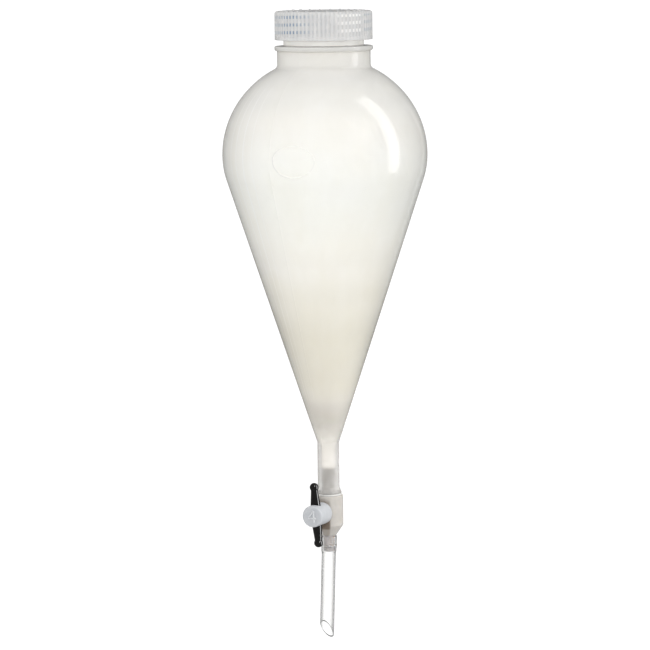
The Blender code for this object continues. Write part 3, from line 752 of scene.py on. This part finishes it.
def make_nut():
    front = -(COUNTERBORE_FLOOR + WASHER_THICKNESS + 2 * O_RING_SECTION + 3 * GAP)
    foot = front - NUT_HEIGHT
    bore = TAIL_CREST + GAP
    middle = (bore + NUT_RADIUS) / 2
    outline = divided(ring_outline(NUT_RADIUS, bore, front, foot, (0.0003, 0.0006, 0.0002)), 0.00015)

    def relief(r, z, angle):
        step = 2 * pi / NUT_FLUTES
        sideways = wrapped(angle, step) * NUT_RADIUS
        scoop = np.sqrt(np.clip(1 - (sideways / 0.0009) ** 2, 0, 1)) * 0.0005
        outer = smooth((r - middle) / (NUT_RADIUS - middle))
        thread = helix(z, angle, TAIL_PITCH, 1.4, -TAIL_END + 0.1 * TAIL_PITCH, 0.0,
                       TAIL_RIDGE_BASE, TAIL_RIDGE_CREST)
        inner = r < bore + 0.0001
        return r - scoop * outer - np.where(inner, thread * (bore - TAIL_CORE - GAP), 0.0), z

    return on_plug_axis(revolve("tail_nut", outline, around(240), relief, sharp=50))


# ---------------------------------------------------------------- delivery tube

def make_tube():
    step = 0.0015
    bead = 0.0003
    bead_z = OUTLET_O_RING_Z
    middle = (TUBE_SLEEVE_RADIUS + TUBE_SLEEVE_BORE) / 2
    outer = rounded([
        (middle, TUBE_TOP_Z), (TUBE_SLEEVE_RADIUS, TUBE_TOP_Z, 0.0002),
        (TUBE_SLEEVE_RADIUS, bead_z + 4 * bead, 0.001), (TUBE_SLEEVE_RADIUS + bead, bead_z, 0.0008),
        (TUBE_SLEEVE_RADIUS, bead_z - 4 * bead, 0.001), (TUBE_SLEEVE_RADIUS, TUBE_SLEEVE_Z, 0.001),
        (TUBE_RADIUS, TUBE_SLEEVE_Z - step, 0.001), (TUBE_RADIUS, TUBE_SLEEVE_Z - 2 * step),
    ], 6)
    inner = rounded([
        (TUBE_BORE, TUBE_SLEEVE_Z - 2 * step), (TUBE_BORE, TUBE_SLEEVE_Z - step, 0.001),
        (TUBE_SLEEVE_BORE, TUBE_SLEEVE_Z, 0.001), (TUBE_SLEEVE_BORE, TUBE_TOP_Z, 0.0002),
        (middle, TUBE_TOP_Z),
    ], 6)
    # below the sleeve, straight - z is at first the share of the way down to the bevelled end
    straight = TUBE_SLEEVE_Z - 2 * step
    last = straight - 1.0
    edge = 0.00012
    down = [(TUBE_RADIUS, z) for z in np.linspace(straight, last, 14)[1:]]
    end = [
        (TUBE_RADIUS - edge * 0.4, last - edge * 0.7), (TUBE_RADIUS - edge, last - edge),
        (TUBE_BORE + edge, last - edge), (TUBE_BORE + edge * 0.4, last - edge * 0.7),
    ]
    up = [(TUBE_BORE, z) for _, z in reversed(down)]
    outline = outer + down + end + up + inner

    def relief(r, z, angle):
        middle_z = TUBE_TIP_Z + BEVEL_SLOPE * TUBE_RADIUS
        cut = middle_z - BEVEL_SLOPE * r * np.cos(angle - BEVEL_AZIMUTH) + edge
        part = np.clip(straight - z, 0.0, 1.0)
        rest = np.minimum(z - last, 0.0)
        return r, np.where(z < straight - 1e-6, straight + (cut - straight) * part + rest, z)

    tube = revolve("outlet_tube", outline, around(144), relief, sharp=40)
    for vertex in tube.data.vertices:
        below = TUBE_TOP_Z - vertex.co.z
        lean = TUBE_LEAN * below * min(1.0, below / 0.010)
        vertex.co.x += lean * cos(TUBE_LEAN_TOWARDS)
        vertex.co.y += lean * sin(TUBE_LEAN_TOWARDS)
    return tube


# ---------------------------------------------------------------- materials

class Look:
    """A material with a Principled shader and short ways to add procedural nodes."""

    def __init__(self, name, **values):
        self.material = bpy.data.materials.new(name)
        self.material.use_nodes = True
        tree = self.material.node_tree
        self.nodes, self.links = tree.nodes, tree.links
        self.shader = self.nodes["Principled BSDF"]
        self.surface = self.shader.outputs[0]
        self.output = self.nodes["Material Output"]
        self.place = self.nodes.new("ShaderNodeTexCoord").outputs["Object"]
        split = self.node("ShaderNodeSeparateXYZ", {"Vector": self.place})
        self.x, self.y, self.z = split.outputs["X"], split.outputs["Y"], split.outputs["Z"]
        self.set(**values)

    def set(self, **values):
        """Gives sockets of the Principled shader a value each, or links them."""
        for key, value in values.items():
            self.put(self.shader.inputs[key.replace("_", " ")], value)
        return self

    def put(self, socket, value):
        if hasattr(value, "is_output"):
            self.links.new(value, socket)
        else:
            socket.default_value = value

    def node(self, kind, inputs=None, **settings):
        node = self.nodes.new(kind)
        for key, value in settings.items():
            setattr(node, key, value)
        for key, value in (inputs or {}).items():
            if value is not None:
                self.put(node.inputs[key], value)
        return node

    def stretched(self, x, y, z):
        mapping = self.node("ShaderNodeMapping", {"Vector": self.place, "Scale": (x, y, z)})
        return mapping.outputs["Vector"]

    def noise(self, scale, detail=3.0, vector=None):
        return self.node("ShaderNodeTexNoise", {
            "Vector": vector or self.place, "Scale": scale, "Detail": detail, "Roughness": 0.55,
        }).outputs["Fac"]

    def ramp(self, value, stops):
        """Colours, or plain numbers for greys, at rising values from 0 to 1."""
        node = self.node("ShaderNodeValToRGB", {"Fac": value})
        ramp = node.color_ramp
        ramp.interpolation = "EASE"
        ramp.elements[0].position = stops[0][0]
        ramp.elements[1].position = stops[-1][0]
        for at, _ in stops[1:-1]:
            ramp.elements.new(at)
        for element, (_, colour) in zip(ramp.elements, stops):
            element.color = (*colour, 1.0) if isinstance(colour, tuple) else (*[colour] * 3, 1.0)
        return node.outputs["Color"]

    def ramp_up(self, stops):
        """A ramp along the height, with its stops at heights in metres."""
        low, high = RAMP_FOOT_Z, RAMP_TOP_Z
        return self.ramp(self.span(self.z, low, high),
                         [((z - low) / (high - low), colour) for z, colour in stops])

    def mottle(self, scale, dark, light):
        """Two close colours, clouded."""
        return self.ramp(self.noise(scale, 4.0), [(0.3, dark), (0.7, light)])

    def span(self, value, low, high, to_low=0.0, to_high=1.0):
        return self.node("ShaderNodeMapRange", {
            "Value": value, "From Min": low, "From Max": high, "To Min": to_low, "To Max": to_high,
        }).outputs["Result"]

    def patchy_roughness(self, scale, low, high, start=0.3):
        return self.span(self.noise(scale), start, 0.7, low, high)

    def blend(self, factor, a, b, mode="MIX"):
        node = self.node("ShaderNodeMix", {0: factor}, data_type="RGBA", blend_type=mode)
        for socket, colour in ((node.inputs[6], a), (node.inputs[7], b)):
            self.put(socket, (*colour, 1.0) if isinstance(colour, tuple) else colour)
        return node.outputs[2]

    def maths(self, operation, *values):
        return self.node("ShaderNodeMath", dict(enumerate(values)), operation=operation).outputs[0]

    def product(self, first, *others):
        for other in others:
            first = self.maths("MULTIPLY", first, other)
        return first

    def less(self, a, b):
        return self.maths("SUBTRACT", a, b)

    def length(self, a, b):
        squares = [self.maths("POWER", side, 2.0) for side in (a, b)]
        return self.maths("SQRT", self.maths("ADD", *squares))

    def azimuth(self):
        return self.maths("ARCTAN2", self.y, self.x)

    def bump(self, height, distance, strength, onto=None):
        return self.node("ShaderNodeBump", {
            "Height": height, "Distance": distance, "Strength": strength, "Normal": onto,
        }).outputs["Normal"]

    def cover(self, share, layer):
        """Lays another shader over what there is so far."""
        mix = self.node("ShaderNodeMixShader", {"Fac": share, 1: self.surface, 2: layer.outputs[0]})
        self.surface = mix.outputs[0]
        self.links.new(self.surface, self.output.inputs["Surface"])
        return self

    def see_through(self, share, roughness, normal, bending=PLASTIC_IOR):
        """Lets part of the light straight on, blurred, as thin or clearer plastic does."""
        return self.cover(share, self.node("ShaderNodeBsdfRefraction", {
            "Color": (1, 1, 1, 1), "Roughness": roughness, "IOR": bending, "Normal": normal,
        }))

    def rim_gloss(self, amount, power, roughness, colour, normal=None):
        """Lays a gloss over the shader that grows towards grazing angles."""
        facing = self.node("ShaderNodeLayerWeight", {"Blend": 0.5}).outputs["Facing"]
        share = self.product(self.maths("POWER", facing, power), amount)
        return self.cover(share, self.node("ShaderNodeBsdfGlossy", {
            "Color": (*colour, 1), "Roughness": roughness, "Normal": normal,
        }))


def flow_lines(look, colour, azimuth):
    """Faint upright lines that the moulding left on the bulb's left side."""
    on_bulb = look.span(look.z, *FLOW_LINE_FADE)
    for degrees, strength in FLOW_LINES:
        apart = look.maths("ABSOLUTE", look.less(azimuth, radians(degrees)))
        line = look.product(look.span(apart, FLOW_LINE_HALF_WIDTH, 0.0, 0.0, strength), on_bulb)
        colour = look.blend(line, colour, FLOW_LINE_COLOUR)
    return colour


def oval_line(look, colour, azimuth):
    """Painted shade along the moulded oval's edge: a little darker, most of all on its left."""
    half_width, half_height = OVAL_HALF_SIZE
    sideways = look.product(look.less(azimuth, OVAL_ANGLE), BULB_RADIUS / half_width)
    upwards = look.product(look.less(look.z, OVAL_Z), 1 / half_height)
    off_line = look.maths("ABSOLUTE", look.less(look.length(sideways, upwards), 1.0))
    line = look.product(look.span(off_line, 0.040, 0.012), look.span(sideways, 1.0, -1.0, 0.25, 0.75))
    return look.blend(line, colour, OVAL_SHADE)


def painted_glow(look):
    """Strength of a painted glow, given as emission where light would gather: in the narrow bore and in
    the neck under the closure.
    """
    cone_wall = look.maths("ADD", look.product(look.z, tan(CONE_HALF_ANGLE)), RING_RADIUS - 0.7 * WALL)
    wall = look.maths("MAXIMUM", cone_wall, SPOUT_BORE + 0.0006)
    in_bore = look.span(look.less(look.length(look.x, look.y), wall), 0.0004, -0.0004)
    over_nipple = look.span(look.z, INLET_TOP_Z - 0.0003, INLET_TOP_Z + 0.0005)
    bore = look.product(in_bore, over_nipple, look.span(look.z, *BORE_GLOW_FADE), BORE_GLOW)
    over_flange = look.span(look.z, FLANGE_TOP_Z + 0.0002, FLANGE_TOP_Z + 0.0010)
    under_closure = look.span(look.z, CLOSURE_FOOT_Z + 0.0008, CLOSURE_FOOT_Z - 0.0010, 0.0, NECK_GLOW)
    return look.maths("ADD", bore, look.product(over_flange, under_closure))


def milky_look():
    look = Look("milky_polypropylene", IOR=PLASTIC_IOR, Subsurface_Weight=1.0,
                Subsurface_Radius=(1.0, 1.0, 1.0))
    streak = look.noise(60.0, vector=look.stretched(1.0, 1.0, 0.06))
    soft = look.blend(look.span(look.noise(28.0, 4.0), 0.35, 0.65, 0.0, 0.5), WHITE, (0.965, 0.955, 0.93))
    lines = look.blend(look.span(streak, 0.45, 0.62, 0.0, 0.3), WHITE, (0.95, 0.945, 0.93))
    # the height ramp carries painted light and shade
    colour = look.blend(1.0, look.ramp_up(MILKY_SHADED_TONES), soft, "MULTIPLY")
    colour = look.blend(1.0, colour, lines, "MULTIPLY")
    azimuth = look.azimuth()
    colour = oval_line(look, flow_lines(look, colour, azimuth), azimuth)
    gloss = look.patchy_roughness(45.0, 0.09, 0.14)
    normal = look.bump(streak, 0.0006, 0.15)
    normal = look.bump(look.noise(900.0), 0.00003, 0.35, onto=normal)
    look.set(Base_Color=colour, Roughness=gloss, Normal=normal,
             Subsurface_Scale=look.span(look.z, -0.100, -0.124, 0.006, 0.0018),
             Emission_Color=(*GLOW_COLOUR, 1), Emission_Strength=painted_glow(look))
    look.see_through(look.span(look.z, -0.095, -0.126, 0.0, 0.5), 0.07, normal, bending=1.08)
    return look.rim_gloss(look.ramp_up(MILKY_RIM), 1.6, gloss, (1.0, 0.985, 0.94), normal).material


def painted_thread_light(look, colour):
    """Painted light and shade where the ribs' grooves cross the gaps between two turns of thread: bluish
    grey on the shaded side, near white on the lit side.
    """
    azimuth = look.azimuth()
    grooves = look.span(look.maths("COSINE", look.product(azimuth, RIB_COUNT)), 0.2, -0.4)
    # painted shade: the ribs' grooves a little darker
    colour = look.blend(look.product(grooves, 0.16), colour, GROOVE_SHADE_COLOUR)
    climb = look.product(look.less(look.z, WINDOW_Z), 2 * pi / THREAD_PITCH)
    gaps = look.span(look.maths("COSINE", look.less(climb, azimuth)), 0.15, 0.45)
    over_band = look.span(look.z, CLOSURE_FOOT_Z + 0.0034, CLOSURE_FOOT_Z + 0.0040)
    under_top = look.span(look.z, CLOSURE_TOP_Z - 0.0017, CLOSURE_TOP_Z - 0.0023)
    windows = look.product(grooves, gaps, look.product(over_band, under_top))
    round_it = look.span(azimuth, -pi, pi)
    for stops, tint in ((SHADED_WINDOWS, WINDOW_SHADE_COLOUR), (LIT_WINDOWS, WINDOW_LIGHT_COLOUR)):
        colour = look.blend(look.product(windows, look.ramp(round_it, stops)), colour, tint)
    return colour


def cap_look():
    look = Look("closure_polypropylene", IOR=PLASTIC_IOR, Subsurface_Weight=0.5,
                Subsurface_Scale=0.0015, Subsurface_Radius=(0.9, 0.95, 1.0))
    colour = painted_thread_light(look, look.mottle(120.0, (0.68, 0.68, 0.68), (0.745, 0.74, 0.73)))
    normal = look.bump(look.noise(1400.0), 0.00003, 0.25)
    look.set(Base_Color=colour, Roughness=look.patchy_roughness(160.0, 0.20, 0.32), Normal=normal)
    return look.see_through(0.25, 0.08, normal).material


def fluoropolymer_look(name, tint):
    look = Look(name, IOR=1.36, Subsurface_Weight=0.35, Subsurface_Scale=0.0012,
                Subsurface_Radius=(1.0, 1.0, 1.0))
    r, g, b = tint
    turning = look.noise(2600.0, 2.0, look.stretched(0.12, 1.0, 0.12))
    return look.set(
        Base_Color=look.mottle(260.0, (r * 0.94, g * 0.95, b * 0.96), tint),
        Roughness=look.patchy_roughness(400.0, 0.36, 0.48),
        Normal=look.bump(turning, 0.00003, 0.5),
    ).material


def beside_head(look):
    """Strength of the dull brown shade on the barrel where the plug's head keeps the light off."""
    azimuth = look.azimuth()
    sideways = look.product(look.less(azimuth, SHADE_ANGLE), BARREL_RADIUS)
    apart = look.length(sideways, look.less(look.z, SHADE_Z))
    near = look.span(apart, SHADE_RADIUS, SHADE_RADIUS - 0.0022)
    right = look.span(azimuth, SHADE_EDGE + radians(4), SHADE_EDGE - radians(4))
    left = look.span(azimuth, SHADE_FAR_EDGE - radians(7), SHADE_FAR_EDGE + radians(7))
    high = look.span(look.z, PLUG_Z, PLUG_Z + 0.005, 1.0, 0.5)
    low = look.span(look.z, BARREL_CHAMFER_Z - 0.0030, BARREL_CHAMFER_Z - 0.0018, 0.45, 1.0)
    return look.product(near, look.product(right, left), look.product(high, low))


def barrel_look():
    look = Look("barrel_plastic", IOR=PLASTIC_IOR, Subsurface_Weight=0.35, Subsurface_Scale=0.002,
                Subsurface_Radius=(1.0, 0.86, 0.66))
    colour = look.mottle(180.0, (0.42, 0.398, 0.368), (0.47, 0.449, 0.42))
    # painted light: the outlet nipple below the barrel's foot is made lighter, where light comes through
    # the tube
    nipple = look.span(look.z, BARREL_FOOT_Z + 0.0002, BARREL_FOOT_Z - 0.0004)
    colour = look.blend(nipple, colour, (0.68, 0.635, 0.62))
    return look.set(
        Base_Color=look.blend(beside_head(look), colour, (0.15, 0.115, 0.085)),
        Roughness=look.patchy_roughness(300.0, 0.30, 0.42),
        Normal=look.bump(look.noise(1800.0), 0.00004, 0.5),
    ).material


def handle_look():
    look = Look("black_handle", IOR=1.5)
    return look.set(
        Base_Color=look.mottle(500.0, (0.002, 0.0018, 0.0018), (0.005, 0.0045, 0.0042)),
        Roughness=look.patchy_roughness(700.0, 0.05, 0.10),
        Normal=look.bump(look.noise(1500.0), 0.00001, 0.3),
    ).material


def rubber_look():
    look = Look("seal_rubber", IOR=1.52)
    return look.set(
        Base_Color=look.mottle(900.0, (0.020, 0.020, 0.021), (0.040, 0.038, 0.037)),
        Roughness=look.patchy_roughness(1200.0, 0.5, 0.7),
        Normal=look.bump(look.noise(4000.0, 2.0), 0.00004, 0.6),
    ).material


def tube_look():
    look = Look("clear_tube", IOR=1.5, Transmission_Weight=1.0)
    streak = look.noise(1800.0, vector=look.stretched(1.0, 1.0, 0.02))
    gloss = look.patchy_roughness(250.0, 0.01, 0.05, start=0.4)
    look.set(Base_Color=look.ramp(streak, [(0.3, (0.985, 0.985, 0.98)), (0.7, (1.0, 1.0, 0.995))]),
             Roughness=gloss, Normal=look.bump(streak, 0.00004, 0.25))
    # painted shade: a near-black gloss darkens the tube's edges at grazing angles
    return look.rim_gloss(1.0, 1.8, gloss, (0.07, 0.065, 0.06)).material


# ---------------------------------------------------------------- stage

def aim(thing, target, roll=0.0):
    away = Vector(target) - thing.location
    turn = away.to_track_quat("-Z", "Y").to_matrix() @ Matrix.Rotation(roll, 3, "Z")
    thing.rotation_euler = turn.to_euler()


def make_camera():
    data = bpy.data.cameras.new("camera")
    data.lens = CAMERA_LENS
    data.sensor_width = 36.0
    data.clip_end = 500.0
    camera = link(bpy.data.objects.new("camera", data))
    camera.location = CAMERA_PLACE
    aim(camera, CAMERA_AIM, CAMERA_ROLL)
    bpy.context.scene.camera = camera


def area_light(name, azimuth, elevation, distance, size, power, middle=LIT_MIDDLE, only_gloss=True):
    """A soft box. Azimuth is in degrees to the right of the camera's side, as seen from above."""
    data = bpy.data.lights.new(name, "AREA")
    data.shape = "RECTANGLE"
    data.size, data.size_y = size
    data.energy = power
    light = link(bpy.data.objects.new(name, data))
    towards = radians(CAMERA_SIDE + azimuth)
    rise = radians(elevation)
    light.location = Vector(middle) + distance * Vector((
        cos(towards) * cos(rise), sin(towards) * cos(rise), sin(rise),
    ))
    aim(light, middle)
    light.visible_camera = False
    light.visible_diffuse = not only_gloss
    return light


def spot_light(name, place, target, degrees_wide, power, radius, in_gloss=True):
    data = bpy.data.lights.new(name, "SPOT")
    data.energy = power
    data.spot_size = radians(degrees_wide)
    data.spot_blend = 1.0
    data.shadow_soft_size = radius
    light = link(bpy.data.objects.new(name, data))
    light.location = place
    aim(light, target)
    light.visible_glossy = in_gloss


def strip_for(piece):
    """A strip light that only this piece mirrors."""
    light = area_light("strip_for_" + piece.name, 80, 2, 1.2, (0.36, 1.5), 20.0, (0, 0, PLUG_Z))
    mirrored_by = bpy.data.collections.new(light.name)
    mirrored_by.objects.link(piece)
    light.light_linking.receiver_collection = mirrored_by


def make_floor():
    bpy.ops.mesh.primitive_plane_add(size=FLOOR_SIZE, location=(0, 0, FLOOR_Z))
    floor = bpy.context.object
    floor.name = "floor"
    look = Look("pale_floor", Roughness=0.9, Base_Color=(0.78, 0.78, 0.78, 1),
                Specular_IOR_Level=0.0, Emission_Color=(1, 1, 1, 1), Emission_Strength=0.28)
    floor.data.materials.append(look.material)
    floor.visible_glossy = False


def make_world():
    """Even white light, dimmer where a surface mirrors it than where one is lit by it."""
    world = bpy.data.worlds.new("studio")
    bpy.context.scene.world = world
    world.use_nodes = True
    nodes, links = world.node_tree.nodes, world.node_tree.links
    path = nodes.new("ShaderNodeLightPath")
    mirrored = nodes.new("ShaderNodeMath")
    mirrored.operation = "SUBTRACT"
    mirrored.use_clamp = True
    links.new(path.outputs["Is Glossy Ray"], mirrored.inputs[0])
    links.new(path.outputs["Is Transmission Ray"], mirrored.inputs[1])
    mix = nodes.new("ShaderNodeMix")
    mix.data_type = "RGBA"
    links.new(mirrored.outputs[0], mix.inputs[0])
    mix.inputs[6].default_value = (*[WORLD_LIGHT] * 3, 1)
    mix.inputs[7].default_value = (*[WORLD_MIRRORED] * 3, 1)
    links.new(mix.outputs[2], nodes["Background"].inputs["Color"])


def make_lights():
    area_light("strip_right", 82, 22, 1.2, (0.36, 1.9), 3.9)
    area_light("strip_back_right", 143, 12, 1.2, (0.05, 1.5), 0.12)
    area_light("front_right", 45, 30, 1.8, (0.8, 0.8), 1.5, only_gloss=False)
    spot_light("front", (0.82, -2.25, 0.85), (0, 0, 0.045), 15, 98.0, 0.25, in_gloss=False)
    spot_light("low_key", (1.22, 0.36, 0.66), (0, 0, PLUG_Z), 7, 100.0, 0.12)
    spot_light("low_fill", (1.05, -0.75, 0.75), (0, 0, PLUG_Z), 7, 22.0, 0.05)


# ---------------------------------------------------------------- assembly

make_camera()
make_floor()
make_world()
make_lights()
bpy.context.scene.view_settings.view_transform = "Standard"

milky, cap_plastic, barrel_plastic = milky_look(), cap_look(), barrel_look()
white = fluoropolymer_look("white_fluoropolymer", (0.44, 0.45, 0.465))
pale = fluoropolymer_look("pale_fluoropolymer", (0.58, 0.57, 0.55))
# the size mark is a lighter copy of the plug's fluoropolymer: painted light on its raised strokes
raised = fluoropolymer_look("size_mark_painted_light", (0.56, 0.57, 0.58))
black, rubber, clear = handle_look(), rubber_look(), tube_look()

outlet_ring = make_outlet_ring()
handle = make_handle()
strip_for(handle)
tail_ring = make_tail_ring()

PIECES = [
    # piece, material, body, slot, CAD nodes that it stands for
    (make_vessel(), milky, "vessel", "vessel_plastic", ["funnel_body"]),
    (make_cap(), cap_plastic, "closure", "closure_plastic", ["screw_closure"]),
    (make_liner(), white, "liner", "white_fluoropolymer", ["closure_seal"]),
    (make_gasket(), pale, "vessel", "white_fluoropolymer", ["spout_gasket"]),
    (make_barrel(), barrel_plastic, "vessel", "barrel_plastic", ["stopcock_barrel"]),
    (outlet_ring, barrel_plastic, "vessel", "white_fluoropolymer", ["outlet_o_ring"]),
    (make_tube(), clear, "vessel", "tube_plastic", ["delivery_tube"]),
    (make_plug(), white, "plug", "white_fluoropolymer", ["stopcock_plug"]),
    (make_size_mark(), raised, "plug", "white_fluoropolymer", []),
    (handle, black, "plug", "handle_plastic", ["handle_bar"]),
    (make_washer(), white, "tail_stack", "white_fluoropolymer", ["plug_washer"]),
    (tail_ring, rubber, "tail_stack", "seal_rubber", ["plug_o_ring"]),
    (make_nut(), white, "nut", "white_fluoropolymer", ["tension_nut"]),
]
for piece, material, body, slot, nodes in PIECES:
    piece.data.materials.clear()
    piece.data.materials.append(material)
    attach(piece, body)
    if nodes:
        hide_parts(*nodes)
